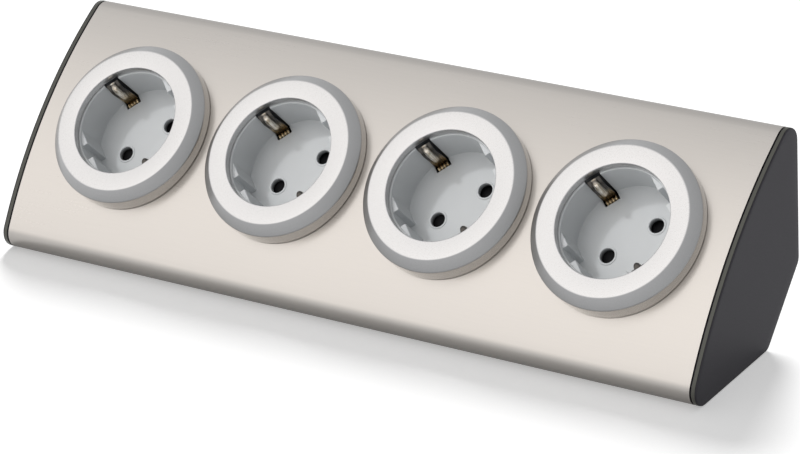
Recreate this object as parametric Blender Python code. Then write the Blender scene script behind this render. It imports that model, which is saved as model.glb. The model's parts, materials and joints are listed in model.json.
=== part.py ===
# Corner power strip with four earthed sockets, in metres, +Z up.
# X runs along the strip, the wall is at +Y and the worktop at Z = 0.
from math import asin, cos, pi, radians, sin, sqrt, tau

import bmesh
import bpy
from mathutils import Matrix, Vector

# Clearance between neighbouring pieces
FIT = 0.0003

# Housing
LENGTH = 0.280
SECTION = 0.072
FACE_RADIUS = 0.1725
NOSE_ROUND = 0.006
HEEL_ROUND = 0.004
SHEET = 0.0008
FLANGE = 0.009
REAR_WALL = 0.0024
CAP_PLATE = 0.0022
CAP_EDGE = 0.0008
SPIGOT_DEPTH = 0.008
SPIGOT_WALL = 0.0015
SMALLEST_ROUND = 0.0003

# Hanging keyholes in the back wall
KEYHOLE_SPACING = 0.1308
KEYHOLE_HEIGHT = 0.046
KEYHOLE_HEAD_RADIUS = 0.0044
KEYHOLE_SLOT_WIDTH = 0.0046
KEYHOLE_RISE = 0.0085

# Inlet for the supply lead in the slanted rear wall
GLAND_FROM_END = 0.022
GLAND_BORE_RADIUS = 0.004
GLAND_NECK_RADIUS = 0.006
GLAND_FLANGE_RADIUS = 0.0085
GLAND_FLANGE = 0.002
GLAND_NUT_RADIUS = 0.0085
GLAND_NUT = 0.003

# Socket pattern on the face
RING_GAP = 0.0054
END_MARGIN = 0.009
PIN_TURN = radians(45)

# Trim ring
RING_RISE = 0.0072
RING_RADIUS = 0.030
RING_BORE_RADIUS = 0.020
RING_CHAMFER = 0.0031

# Insert with the plug well
LIP_DEPTH = 0.003
WELL_RADIUS = 0.0194
WELL_DEPTH = 0.0176
POT_WALL = 0.0016
WELL_FLOOR = 0.002
COLLAR_RADIUS = 0.0245
COLLAR = 0.0015
PIN_SPACING = 0.019
PIN_HOLE_RADIUS = 0.0026
GUIDE_FLAT = 0.0171
GUIDE_TOP_DEPTH = 0.004
GUIDE_GROOVE_WIDTH = 0.0062
CLIP_SLOT_WIDTH = 0.0058
CLIP_SLOT_REACH = 0.0161
CLIP_SLOT_BACK = 0.001
BOSS_RADIUS = 0.0032
BOSS_LENGTH = 0.0064

# Child-protection shutter and its spring
SHUTTER_THICKNESS = 0.003
SHUTTER_HUB_RADIUS = 0.0056
SHUTTER_COVER = 0.0008
SHUTTER_RAMP = 0.0016
SHUTTER_ROOT_SPREAD = 1.3
SPRING_WIRE_RADIUS = 0.0003
SPRING_TURNS = 2
SPRING_LEG = 0.0045

# Earth bow
CLIP_WIDTH = 0.0046
CLIP_SHEET = 0.0007
CLIP_NOSE = 0.0160
CLIP_NOSE_DEPTH = 0.0064
CLIP_STEM = 0.0186
CLIP_BEND = 0.002
BAR_WIDTH = 0.008

# Line and neutral contacts
CONTACT_SHEET = 0.0006
CONTACT_WIDTH = 0.005
CONTACT_MOUTH = 0.0068
CONTACT_THROAT = 0.0042
CONTACT_THROAT_DEPTH = 0.0028
CONTACT_BODY = 0.0058
CONTACT_BODY_RISE = 0.0072
TAB_WIDTH = 0.0056
TAB_SHEET = 0.0008
TAB_REACH = 0.0025

# Back half of each socket and its screw
BASE_RADIUS = 0.0238
BASE_WALL = 0.0018
BASE_FLOOR = 0.002
BASE_DEPTH = 0.040
BASE_CHAMFER = 0.003
PILLAR_RADIUS = 0.0046
SCREW_RADIUS = 0.0015
SCREW_HEAD_RADIUS = 0.0028
SCREW_HEAD = 0.002
SCREW_CROWN = 0.0008

# Links between the sockets
WIRE_RADIUS = 0.0012
WIRE_SIDE_STEP = 0.0016
WIRE_BEND = 0.0035
WIRE_ROOM = 0.0014

# Facets
RING_SIDES = 32
BASE_SIDES = 16
SMALL_SIDES = 12
PIN_SIDES = 16
FACE_STEPS = 14
NOSE_STEPS = 3
WIRE_SIDES = 6
SPRING_SIDES = 4
COIL_STEPS = 8
ARM_STEPS = 4
HUB_STEPS = 5
HEEL_STEPS = 3
BEND_STEPS = 3

# Section of the housing, as a = distance from the wall and b = height above the worktop.
# The bowed face is an arc about a point on the diagonal a = b.
noseSpan = NOSE_ROUND ** 2 + (SECTION - NOSE_ROUND) ** 2 - (FACE_RADIUS - NOSE_ROUND) ** 2
FACE_CENTRE = (SECTION - sqrt(SECTION ** 2 - 2 * noseSpan)) / 2
FACE_APEX = FACE_RADIUS + FACE_CENTRE * sqrt(2)
SOCKET_REACH = (FACE_APEX + RING_RISE) / sqrt(2)
STEEL_HALF = LENGTH / 2 - CAP_PLATE - FIT
PITCH = 2 * RING_RADIUS + RING_GAP
SOCKET_COUNT = int((LENGTH - 2 * END_MARGIN) / PITCH)
FACE_TILT = radians(45)

# Depths below the flat face of the ring, down the socket's own axis
FLOOR_UNDERSIDE = WELL_DEPTH + WELL_FLOOR
POT_RADIUS = WELL_RADIUS + POT_WALL
COLLAR_UNDERSIDE = RING_RISE - FIT
COLLAR_TOP = COLLAR_UNDERSIDE - COLLAR
BOSS_END = FLOOR_UNDERSIDE + BOSS_LENGTH
SCREW_BORE_RADIUS = SCREW_RADIUS + FIT
SHUTTER_TOP = FLOOR_UNDERSIDE + FIT
SHUTTER_UNDERSIDE = SHUTTER_TOP + SHUTTER_THICKNESS
PIN_RADIUS_ON_FACE = PIN_SPACING / 2
BAR_TOP = BOSS_END + FIT
BAR_UNDERSIDE = BAR_TOP + CLIP_SHEET
PILLAR_TOP = BAR_UNDERSIDE + FIT
CONTACT_TOP = SHUTTER_UNDERSIDE + 3 * FIT
CONTACT_BOTTOM = BASE_DEPTH - BASE_FLOOR - FIT
TAB_END = BASE_DEPTH + TAB_REACH
LINK_STEP = 2 * WIRE_RADIUS + FIT
EARTH_TAB_OFFSET = (PIN_RADIUS_ON_FACE * sin(PIN_TURN) + LINK_STEP) / cos(PIN_TURN)
WIRE_RUN = TAB_END + 2 * WIRE_RADIUS + WIRE_BEND
SLOT_OUTER = WELL_RADIUS + CLIP_SLOT_BACK

# The slanted rear wall stands clear of the links that run behind the sockets.
REAR_DEPTH = WIRE_RUN + WIRE_RADIUS + WIRE_ROOM + REAR_WALL
HEEL_CUT = (FACE_APEX + RING_RISE - REAR_DEPTH) * sqrt(2)


def clearScene():
    for item in list(bpy.data.objects):
        bpy.data.objects.remove(item, do_unlink=True)


def finish(color, roughness, metallic, name):
    material = bpy.data.materials.new(name)
    material.use_nodes = True
    shader = material.node_tree.nodes["Principled BSDF"]
    shader.inputs["Base Color"].default_value = (*color, 1)
    shader.inputs["Roughness"].default_value = roughness
    shader.inputs["Metallic"].default_value = metallic
    return material


def meshFrom(build, name):
    work = bmesh.new()
    build(work)
    bmesh.ops.recalc_face_normals(work, faces=work.faces)
    mesh = bpy.data.meshes.new(name)
    work.to_mesh(mesh)
    work.free()
    return mesh


def addObject(name, mesh, parent=None):
    piece = bpy.data.objects.new(name, mesh)
    bpy.context.collection.objects.link(piece)
    piece.parent = parent
    return piece


def addTool(name, mesh):
    tool = addObject(name, mesh)
    tool.hide_render = True
    tool.display_type = "WIRE"
    return tool


def shaped(mesh, steps):
    # Cuts or joins the given meshes and returns the result as one mesh.
    body = addTool("blank", mesh)
    for operation, tool in steps:
        change = body.modifiers.new(operation, "BOOLEAN")
        change.operation = operation
        change.solver = "EXACT"
        change.object = addTool("tool", tool)
    view = bpy.context.evaluated_depsgraph_get()
    result = bpy.data.meshes.new_from_object(body.evaluated_get(view))
    for change in list(body.modifiers):
        bpy.data.objects.remove(change.object, do_unlink=True)
    bpy.data.objects.remove(body, do_unlink=True)
    return result


def dress(piece, material, smoothAngle=radians(30)):
    mesh = piece.data
    mesh.materials.clear()
    mesh.materials.append(material)
    mesh.shade_smooth()
    mesh.set_sharp_from_angle(angle=smoothAngle)


def lathe(profile, sides):
    # A closed profile of (radius, height) turned about Z. A height may be a function of x and y.
    def build(work):
        rows = []
        for radius, height in profile:
            row = []
            for k in range(sides if radius else 1):
                angle = tau * k / sides
                x = radius * cos(angle)
                y = radius * sin(angle)
                z = height(x, y) if callable(height) else height
                row.append(work.verts.new((x, y, z)))
            rows.append(row)
        closed = profile[0][0] > 0
        pairs = list(zip(rows, rows[1:]))
        if closed:
            pairs.append((rows[-1], rows[0]))
        for low, high in pairs:
            for k in range(sides):
                n = (k + 1) % sides
                corners = [low[k % len(low)], low[n % len(low)], high[n % len(high)], high[k % len(high)]]
                work.faces.new(list(dict.fromkeys(corners)))
    return meshFrom(build, "lathe")


def prism(outline, low, high, place=Matrix()):
    # A flat outline in X and Y, given height from low to high and then placed.
    def build(work):
        bottom = [work.verts.new(place @ Vector((x, y, low))) for x, y in outline]
        top = [work.verts.new(place @ Vector((x, y, high))) for x, y in outline]
        joinRings(work, [bottom, top])
    return meshFrom(build, "prism")


def joinRings(work, rings):
    # Walls between rings of equal count, with the first and last ring filled.
    for low, high in zip(rings, rings[1:]):
        count = len(low)
        for k in range(count):
            n = (k + 1) % count
            work.faces.new((low[k], low[n], high[n], high[k]))
    work.faces.new(rings[0])
    work.faces.new(rings[-1])


def strip(path, widths, sheet):
    # A metal strip bent along a path in Y and Z, with its width along X.
    def build(work):
        rings = []
        for k, point in enumerate(path):
            before = Vector(path[max(k - 1, 0)])
            after = Vector(path[min(k + 1, len(path) - 1)])
            along = (after - before).normalized()
            side = Vector((-along.y, along.x)) * sheet / 2
            half = widths[k] / 2
            inner = Vector(point) - side
            outer = Vector(point) + side
            corners = ((-half, inner), (half, inner), (half, outer), (-half, outer))
            rings.append([work.verts.new((x, p.x, p.y)) for x, p in corners])
        joinRings(work, rings)
    return meshFrom(build, "strip")


def merged(*meshes):
    # Several closed bodies in one mesh, for a single cut or join.
    work = bmesh.new()
    for mesh in meshes:
        work.from_mesh(mesh)
    result = bpy.data.meshes.new("merged")
    work.to_mesh(result)
    work.free()
    return result


def circle(radius, sides, centre=(0, 0)):
    return [(centre[0] + radius * cos(tau * k / sides), centre[1] + radius * sin(tau * k / sides))
            for k in range(sides)]


def arc(centre, radius, start, end, steps):
    turn = [start + (end - start) * k / steps for k in range(steps + 1)]
    return [(centre[0] + radius * cos(t), centre[1] + radius * sin(t)) for t in turn]


# The section's outline, each stretch moved inwards by inset

def noseCentre(inset, radius):
    offset = inset + radius
    reach = FACE_RADIUS - offset
    rise = sqrt(reach ** 2 - (offset - FACE_CENTRE) ** 2)
    return offset, FACE_CENTRE + rise


def facePath(inset):
    # From the back of the top nose, over the bowed face, to the underside of the front nose.
    radius = max(NOSE_ROUND - inset, SMALLEST_ROUND)
    near, far = noseCentre(inset, radius)
    faceRadius = FACE_RADIUS - inset
    tangent = asin((far - FACE_CENTRE) / (faceRadius - radius))
    lower = pi / 2 - tangent
    centre = (FACE_CENTRE, FACE_CENTRE)
    top = arc((near, far), radius, pi, pi / 2, NOSE_STEPS)
    top += arc((near, far), radius, pi / 2, tangent, NOSE_STEPS)[1:]
    face = arc(centre, faceRadius, tangent, lower, FACE_STEPS)
    front = arc((far, near), radius, lower, 0, NOSE_STEPS)
    front += arc((far, near), radius, 0, -pi / 2, NOSE_STEPS)[1:]
    return top + face[1:-1] + front


def heelPath(inset):
    # From the worktop side, round the slanted rear wall, to the wall side.
    radius = max(HEEL_ROUND - inset, SMALLEST_ROUND)
    level = inset + radius
    slant = HEEL_CUT + level * sqrt(2) - level
    low = arc((slant, level), radius, -pi / 2, -3 * pi / 4, HEEL_STEPS)
    high = arc((level, slant), radius, -3 * pi / 4, -pi, HEEL_STEPS)
    return low + high


def sectionOutline(inset):
    return facePath(inset) + heelPath(inset)


def acrossX(outline, x):
    return [Vector((x, SECTION / 2 - a, b)) for a, b in outline]


def extruded(outline, low, high):
    def build(work):
        rings = [[work.verts.new(point) for point in acrossX(outline, x)] for x in (low, high)]
        joinRings(work, rings)
    return meshFrom(build, "extruded")


# Panel surface under a socket, as a height on the socket's own axis

def upSlope(x, y):
    return x * sin(PIN_TURN) + y * cos(PIN_TURN)


def panelOutside(x, y):
    return sqrt(FACE_RADIUS ** 2 - upSlope(x, y) ** 2) - FACE_RADIUS - RING_RISE


def panelInside(x, y):
    inner = FACE_RADIUS - SHEET
    return sqrt(inner ** 2 - upSlope(x, y) ** 2) - FACE_RADIUS - RING_RISE


def socketFrame(index):
    x = (index - (SOCKET_COUNT - 1) / 2) * PITCH
    place = Matrix.Translation((x, SECTION / 2 - SOCKET_REACH, SOCKET_REACH))
    tilt = Matrix.Rotation(FACE_TILT, 4, "X")
    turn = Matrix.Rotation(PIN_TURN, 4, "Z")
    return place @ tilt @ turn


# Meshes of one socket, in its own frame: Z out along its axis, X through the pin holes

def trimRing():
    foot = COLLAR_RADIUS + FIT
    sleeve = POT_RADIUS + FIT

    def base(x, y):
        return panelOutside(x, y) + FIT
    return lathe([
        (RING_BORE_RADIUS, 0),
        (RING_RADIUS - RING_CHAMFER, 0),
        (RING_RADIUS, -RING_CHAMFER),
        (RING_RADIUS, base),
        (foot, base),
        (foot, FIT - COLLAR_TOP),
        (sleeve, FIT - COLLAR_TOP),
        (sleeve, FIT - LIP_DEPTH),
        (RING_BORE_RADIUS, FIT - LIP_DEPTH),
    ], RING_SIDES)


def guideBlock(side, half):
    # One half of a flattened side of the well, keyed into the wall and the floor.
    middle = (WELL_RADIUS + POT_RADIUS) / 2
    groove = GUIDE_GROOVE_WIDTH / 2
    end = sqrt(middle ** 2 - GUIDE_FLAT ** 2)
    back = sqrt(middle ** 2 - groove ** 2)
    halfway = (GUIDE_FLAT + back) / 2
    outline = [
        (GUIDE_FLAT, groove),
        (back, groove),
        (halfway, sqrt(middle ** 2 - halfway ** 2)),
        (GUIDE_FLAT, end),
    ]
    placed = [(side * x, half * y) for x, y in outline]
    return prism(placed, -WELL_DEPTH - WELL_FLOOR / 2, -GUIDE_TOP_DEPTH)


def socketInsert():
    pot = lathe([
        (0, -WELL_DEPTH),
        (WELL_RADIUS, -WELL_DEPTH),
        (WELL_RADIUS, -LIP_DEPTH),
        (POT_RADIUS, -LIP_DEPTH),
        (POT_RADIUS, -COLLAR_TOP),
        (COLLAR_RADIUS, -COLLAR_TOP),
        (COLLAR_RADIUS, -COLLAR_UNDERSIDE),
        (POT_RADIUS, -COLLAR_UNDERSIDE),
        (POT_RADIUS, -FLOOR_UNDERSIDE),
        (0, -FLOOR_UNDERSIDE),
    ], RING_SIDES)
    guides = merged(*[guideBlock(side, half) for side in (-1, 1) for half in (-1, 1)])
    boss = prism(circle(BOSS_RADIUS, SMALL_SIDES), -BOSS_END, -FLOOR_UNDERSIDE + WELL_FLOOR / 2)
    bore = prism(circle(SCREW_BORE_RADIUS, SMALL_SIDES), -BOSS_END - FIT, -FLOOR_UNDERSIDE)
    through = (-FLOOR_UNDERSIDE - FIT, FIT - WELL_DEPTH)
    holes = [prism(circle(PIN_HOLE_RADIUS, PIN_SIDES, (side * PIN_RADIUS_ON_FACE, 0)), *through)
             for side in (-1, 1)]
    slots = []
    for side in (-1, 1):
        half = CLIP_SLOT_WIDTH / 2
        near = side * CLIP_SLOT_REACH
        far = side * SLOT_OUTER
        outline = [(-half, near), (half, near), (half, far), (-half, far)]
        slots.append(prism(outline, -FLOOR_UNDERSIDE - FIT, FIT - LIP_DEPTH))
    return shaped(pot, [
        ("UNION", guides),
        ("UNION", boss),
        ("DIFFERENCE", merged(bore, *holes, *slots)),
    ])


def shutter():
    # A hub with two arms. Each arm covers a pin hole, and its top slopes so that the pins turn it.
    bore = BOSS_RADIUS + FIT
    reach = PIN_RADIUS_ON_FACE + PIN_HOLE_RADIUS + SHUTTER_COVER
    wide = asin((PIN_HOLE_RADIUS + SHUTTER_COVER) / PIN_RADIUS_ON_FACE)
    root = SHUTTER_ROOT_SPREAD * wide

    def build(work):
        points = []
        for arm in (0, pi):
            for k in range(ARM_STEPS + 1):
                share = k / ARM_STEPS
                points.append((arm - wide + 2 * wide * share, reach, share))
            for k in range(HUB_STEPS + 1):
                start = arm + root
                end = arm + pi - root
                points.append((start + (end - start) * k / HUB_STEPS, SHUTTER_HUB_RADIUS, 0))
        top = -SHUTTER_TOP
        bottom = -SHUTTER_UNDERSIDE
        rings = [[], [], [], []]
        for angle, radius, share in points:
            flat = Vector((cos(angle), sin(angle)))
            rings[0].append(work.verts.new((*(flat * bore), bottom)))
            rings[1].append(work.verts.new((*(flat * bore), top)))
            rings[2].append(work.verts.new((*(flat * radius), top - SHUTTER_RAMP * share)))
            rings[3].append(work.verts.new((*(flat * radius), bottom)))
        count = len(points)
        for low, high in zip(rings, rings[1:] + rings[:1]):
            for k in range(count):
                n = (k + 1) % count
                work.faces.new((low[k], low[n], high[n], high[k]))
    return meshFrom(build, "shutter")


def springPath():
    coil = BOSS_RADIUS + 3 * FIT + SPRING_WIRE_RADIUS
    first = SHUTTER_UNDERSIDE + FIT + SPRING_WIRE_RADIUS
    last = BAR_TOP - FIT - SPRING_WIRE_RADIUS
    steps = COIL_STEPS * SPRING_TURNS
    path = [Vector((coil + SPRING_LEG, 0, -first))]
    for k in range(steps + 1):
        angle = (SPRING_TURNS * tau + pi / 2) * k / steps
        depth = first + (last - first) * k / steps
        path.append(Vector((coil * cos(angle), coil * sin(angle), -depth)))
    path.append(Vector((0, coil + SPRING_LEG, -last)))
    return path


def tube(name, path, radius, parent, sides):
    # A round wire along a path, with its ends filled.
    curve = bpy.data.curves.new(name, "CURVE")
    curve.dimensions = "3D"
    curve.bevel_depth = radius
    curve.bevel_resolution = (sides - 4) // 2
    curve.use_fill_caps = True
    line = curve.splines.new("POLY")
    line.points.add(len(path) - 1)
    for point, place in zip(line.points, path):
        point.co = (*place, 1)
    return addObject(name, curve, parent)


def tabPlate(centre, top, thickness=TAB_SHEET, width=TAB_WIDTH, bottom=TAB_END):
    # A flat upright tab, whose width lies along the strip.
    half = width / 2
    outline = [(-half, -thickness / 2), (half, -thickness / 2), (half, thickness / 2), (-half, thickness / 2)]
    place = Matrix.Translation((*centre, 0)) @ Matrix.Rotation(-PIN_TURN, 4, "Z")
    return prism(outline, -bottom, -top, place)


def tabPlaces():
    return [(PIN_RADIUS_ON_FACE, 0), (-PIN_RADIUS_ON_FACE, 0), (0, EARTH_TAB_OFFSET)]


def earthClip():
    # Half of the bow from the tip of its blade to the bar, then mirrored.
    middle = BAR_TOP + CLIP_SHEET / 2
    nose = CLIP_NOSE + CLIP_SHEET / 2
    tip = LIP_DEPTH + FIT
    half = [
        (WELL_RADIUS, -tip),
        ((WELL_RADIUS + nose) / 2, -(tip + CLIP_NOSE_DEPTH) / 2),
        (nose + FIT, -CLIP_NOSE_DEPTH + CLIP_SHEET),
        (nose + FIT, -CLIP_NOSE_DEPTH - CLIP_SHEET),
        (CLIP_STEM, -WELL_DEPTH + CLIP_SHEET),
        (CLIP_STEM, -middle + CLIP_BEND),
    ]
    corner = arc((CLIP_STEM - CLIP_BEND, -middle + CLIP_BEND), CLIP_BEND, 0, -pi / 2, BEND_STEPS)
    half += corner[1:]
    path = half + [(-y, z) for y, z in reversed(half)]
    stem = len(half) - 1
    widths = [BAR_WIDTH if k in (stem, stem + 1) else CLIP_WIDTH for k in range(len(path))]
    bow = strip(path, widths, CLIP_SHEET)
    tab = tabPlate((0, EARTH_TAB_OFFSET), middle)
    hole = prism(circle(SCREW_BORE_RADIUS, SMALL_SIDES), -BAR_UNDERSIDE - FIT, FIT - BAR_TOP)
    return shaped(bow, [("UNION", tab), ("DIFFERENCE", hole)])


def forkContact(side):
    # Two sprung leaves on either side of the pin, with a tab below.
    mouth = CONTACT_MOUTH / 2
    throat = CONTACT_THROAT / 2
    body = CONTACT_BODY / 2
    bend = body / 2
    middle = CONTACT_BOTTOM - CONTACT_SHEET / 2
    half = [
        (mouth, -CONTACT_TOP),
        (throat, -CONTACT_TOP - CONTACT_THROAT_DEPTH),
        (body, -CONTACT_BOTTOM + CONTACT_BODY_RISE),
        (body, -middle + bend),
    ]
    half += arc((body - bend, -middle + bend), bend, 0, -pi / 2, BEND_STEPS)[1:]
    path = half + [(-y, z) for y, z in reversed(half)]
    leaves = strip(path, [CONTACT_WIDTH] * len(path), CONTACT_SHEET)
    leaves.transform(Matrix.Translation((side * PIN_RADIUS_ON_FACE, 0, 0)))
    tab = tabPlate((side * PIN_RADIUS_ON_FACE, 0), middle)
    return shaped(leaves, [("UNION", tab)])


def socketBase():
    inside = BASE_RADIUS - BASE_WALL
    floor = BASE_DEPTH - BASE_FLOOR

    def rim(x, y):
        return panelInside(x, y) - FIT
    cup = lathe([
        (SCREW_BORE_RADIUS, -PILLAR_TOP),
        (PILLAR_RADIUS, -PILLAR_TOP),
        (PILLAR_RADIUS, -floor),
        (inside, -floor),
        (inside, rim),
        (BASE_RADIUS, rim),
        (BASE_RADIUS, BASE_CHAMFER - BASE_DEPTH),
        (BASE_RADIUS - BASE_CHAMFER, -BASE_DEPTH),
        (SCREW_BORE_RADIUS, -BASE_DEPTH),
    ], BASE_SIDES)
    slots = [tabPlate(place, floor - FIT, TAB_SHEET + 2 * FIT, TAB_WIDTH + 2 * FIT, BASE_DEPTH + FIT)
             for place in tabPlaces()]
    return shaped(cup, [("DIFFERENCE", merged(*slots))])


def baseScrew():
    under = BASE_DEPTH + FIT
    tip = FLOOR_UNDERSIDE + 2 * FIT
    return lathe([
        (0, -tip),
        (SCREW_RADIUS, -tip),
        (SCREW_RADIUS, -under),
        (SCREW_HEAD_RADIUS, -under),
        (SCREW_HEAD_RADIUS, -under - SCREW_HEAD + SCREW_CROWN),
        (SCREW_HEAD_RADIUS - SCREW_CROWN, -under - SCREW_HEAD),
        (0, -under - SCREW_HEAD),
    ], SMALL_SIDES)


# Pieces of the housing, in the strip's own frame

def panelHole(index):
    hole = prism(circle(POT_RADIUS + 2 * FIT, RING_SIDES), -RING_RISE - NOSE_ROUND, -RING_CHAMFER)
    hole.transform(socketFrame(index))
    return hole


def frontPanel():
    outside = facePath(0)
    inside = facePath(SHEET)
    backEnd = outside[0][1] - FLANGE
    frontEnd = outside[-1][0] - FLANGE
    outline = [(0, backEnd)] + outside + [(frontEnd, 0), (frontEnd, SHEET)]
    outline += inside[::-1] + [(SHEET, backEnd)]
    sheet = extruded(outline, -STEEL_HALF, STEEL_HALF)
    return shaped(sheet, [("DIFFERENCE", merged(*[panelHole(k) for k in range(SOCKET_COUNT)]))])


def keyhole(x):
    # A round entry for the screw head, with a narrower slot above it.
    half = KEYHOLE_SLOT_WIDTH / 2
    start = pi - asin(half / KEYHOLE_HEAD_RADIUS) - pi / 2
    entry = arc((0, 0), KEYHOLE_HEAD_RADIUS, pi - start, tau + start, PIN_SIDES)
    slot = arc((0, KEYHOLE_RISE), half, 0, pi, SMALL_SIDES // 2)
    stand = Matrix.Translation((x, SECTION / 2, KEYHOLE_HEIGHT)) @ Matrix.Rotation(pi / 2, 4, "X")
    return prism(entry + slot, -REAR_WALL, 2 * REAR_WALL, stand)


def glandFrame():
    # Z points out of the slanted rear wall.
    middle = HEEL_CUT / 2
    place = Matrix.Translation((GLAND_FROM_END - LENGTH / 2, SECTION / 2 - middle, middle))
    return place @ Matrix.Rotation(FACE_TILT + pi, 4, "X")


def rearHousing():
    # The edges step inwards by the sheet's thickness, so that the steel flanges lie flush.
    tuck = SHEET + FIT
    outside = facePath(0)
    step = outside[0][1] - FLANGE - FIT
    lipEnd = outside[0][1]
    outline = [(tuck, lipEnd), (tuck, step), (0, step)]
    outline += heelPath(0)[::-1]
    outline += [(step, 0), (step, tuck), (lipEnd, tuck), (lipEnd, REAR_WALL)]
    outline += heelPath(REAR_WALL)
    outline += [(REAR_WALL, lipEnd)]
    channel = extruded(outline, -STEEL_HALF, STEEL_HALF)
    inlet = prism(circle(GLAND_NECK_RADIUS + FIT, RING_SIDES), -2 * REAR_WALL, REAR_WALL, glandFrame())
    keyholes = [keyhole(side * KEYHOLE_SPACING / 2) for side in (-1, 1)]
    return shaped(channel, [("DIFFERENCE", merged(inlet, *keyholes))])


def endCap(side):
    # A plate over the whole section with a softened outer edge, and a spigot inside the housing.
    outer = LENGTH / 2
    inner = outer - CAP_PLATE
    edgeMiddle = CAP_EDGE * (1 - cos(pi / 4))
    steps = [
        (inner, 0),
        (outer - CAP_EDGE, 0),
        (outer - edgeMiddle, edgeMiddle),
        (outer, CAP_EDGE),
    ]

    def buildPlate(work):
        rings = []
        for x, inset in steps:
            rings.append([work.verts.new(point) for point in acrossX(sectionOutline(inset), side * x)])
        joinRings(work, rings)

    spigotOutside = REAR_WALL + FIT
    root = side * (inner + CAP_PLATE / 2)
    tip = side * (inner - SPIGOT_DEPTH)
    block = extruded(sectionOutline(spigotOutside), root, tip)
    hollow = extruded(sectionOutline(spigotOutside + SPIGOT_WALL), side * inner, tip - side * CAP_PLATE)
    plate = meshFrom(buildPlate, "plate")
    return shaped(plate, [("UNION", block), ("DIFFERENCE", hollow)])


def cableGland():
    return lathe([
        (GLAND_BORE_RADIUS, FIT + GLAND_FLANGE),
        (GLAND_FLANGE_RADIUS - GLAND_FLANGE / 2, FIT + GLAND_FLANGE),
        (GLAND_FLANGE_RADIUS, FIT + GLAND_FLANGE / 2),
        (GLAND_FLANGE_RADIUS, FIT),
        (GLAND_NECK_RADIUS, FIT),
        (GLAND_NECK_RADIUS, -REAR_WALL - GLAND_NUT - 3 * FIT),
        (GLAND_BORE_RADIUS, -REAR_WALL - GLAND_NUT - 3 * FIT),
    ], BASE_SIDES)


def glandNut():
    top = -REAR_WALL - FIT
    bore = GLAND_NECK_RADIUS + 2 * FIT
    return lathe([
        (bore, top),
        (GLAND_NUT_RADIUS, top),
        (GLAND_NUT_RADIUS, top - GLAND_NUT),
        (bore, top - GLAND_NUT),
    ], SMALL_SIDES)


def linkPath(index, place, depth):
    # From a tab of one socket, along the strip behind the bases, to the same tab of the next.
    along = place[0] * cos(PIN_TURN) - place[1] * sin(PIN_TURN)
    slope = upSlope(*place)
    start = along + WIRE_SIDE_STEP
    end = along + PITCH - WIRE_SIDE_STEP
    first = arc((start + WIRE_BEND, -depth), WIRE_BEND, pi, 3 * pi / 2, BEND_STEPS)
    last = arc((end - WIRE_BEND, -depth), WIRE_BEND, 3 * pi / 2, tau, BEND_STEPS)
    flat = [(start, -TAB_END - FIT)] + first + last + [(end, -TAB_END - FIT)]
    upright = socketFrame(index) @ Matrix.Rotation(-PIN_TURN, 4, "Z")
    return [upright @ Vector((x, slope, z)) for x, z in flat]


def buildHousing(dark, steel, black):
    pieces = [
        ("front_panel", frontPanel(), steel),
        ("rear_housing", rearHousing(), dark),
        ("end_cap_left", endCap(-1), dark),
        ("end_cap_right", endCap(1), dark),
    ]
    for name, mesh, material in pieces:
        dress(addObject(name, mesh), material)
    inlet = bpy.data.objects.new("inlet_frame", None)
    bpy.context.collection.objects.link(inlet)
    inlet.matrix_world = glandFrame()
    dress(addObject("cable_gland", cableGland(), inlet), black)
    dress(addObject("gland_nut", glandNut(), inlet), black)


def buildSockets(finishes):
    meshes = {
        "trim_ring": trimRing(),
        "socket_insert": socketInsert(),
        "shutter": shutter(),
        "earth_clip": earthClip(),
        "line_contact": forkContact(1),
        "neutral_contact": forkContact(-1),
        "socket_base": socketBase(),
        "base_screw": baseScrew(),
    }
    for index in range(SOCKET_COUNT):
        frame = bpy.data.objects.new(f"socket_frame_{index + 1}", None)
        bpy.context.collection.objects.link(frame)
        frame.matrix_world = socketFrame(index)
        for name, mesh in meshes.items():
            dress(addObject(f"{name}_{index + 1}", mesh, frame), finishes[name])
        spring = tube(f"shutter_spring_{index + 1}", springPath(), SPRING_WIRE_RADIUS, frame, SPRING_SIDES)
        spring.data.materials.append(finishes["base_screw"])


def buildLinks(colors):
    depth = WIRE_RUN - WIRE_BEND
    for name, place in zip(("line_wire", "neutral_wire", "earth_wire"), tabPlaces()):
        for index in range(SOCKET_COUNT - 1):
            path = linkPath(index, place, depth)
            wire = tube(f"{name}_{index + 1}", path, WIRE_RADIUS, None, WIRE_SIDES)
            wire.data.materials.append(colors[name])


def main():
    clearScene()
    steel = finish((0.62, 0.60, 0.57), 0.3, 1, "satin_steel")
    dark = finish((0.058, 0.057, 0.062), 0.5, 0, "dark_plastic")
    black = finish((0.012, 0.012, 0.013), 0.5, 0, "black_plastic")
    grey = finish((0.52, 0.52, 0.51), 0.45, 0, "grey_plastic")
    silver = finish((0.72, 0.72, 0.72), 0.35, 0.8, "silver_paint")
    brass = finish((0.62, 0.50, 0.26), 0.3, 1, "brass")
    nickel = finish((0.70, 0.67, 0.60), 0.25, 1, "nickel")
    zinc = finish((0.60, 0.61, 0.62), 0.35, 1, "zinc")
    buildHousing(dark, steel, black)
    buildSockets({
        "trim_ring": silver,
        "socket_insert": grey,
        "shutter": black,
        "earth_clip": nickel,
        "line_contact": brass,
        "neutral_contact": brass,
        "socket_base": dark,
        "base_screw": zinc,
    })
    buildLinks({
        "line_wire": finish((0.10, 0.04, 0.02), 0.4, 0, "brown_sleeve"),
        "neutral_wire": finish((0.03, 0.12, 0.45), 0.4, 0, "blue_sleeve"),
        "earth_wire": finish((0.25, 0.50, 0.05), 0.4, 0, "green_sleeve"),
    })


main()
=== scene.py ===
import bmesh
import bpy
import json
import numpy as np
from mathutils import Matrix, Vector


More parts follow.
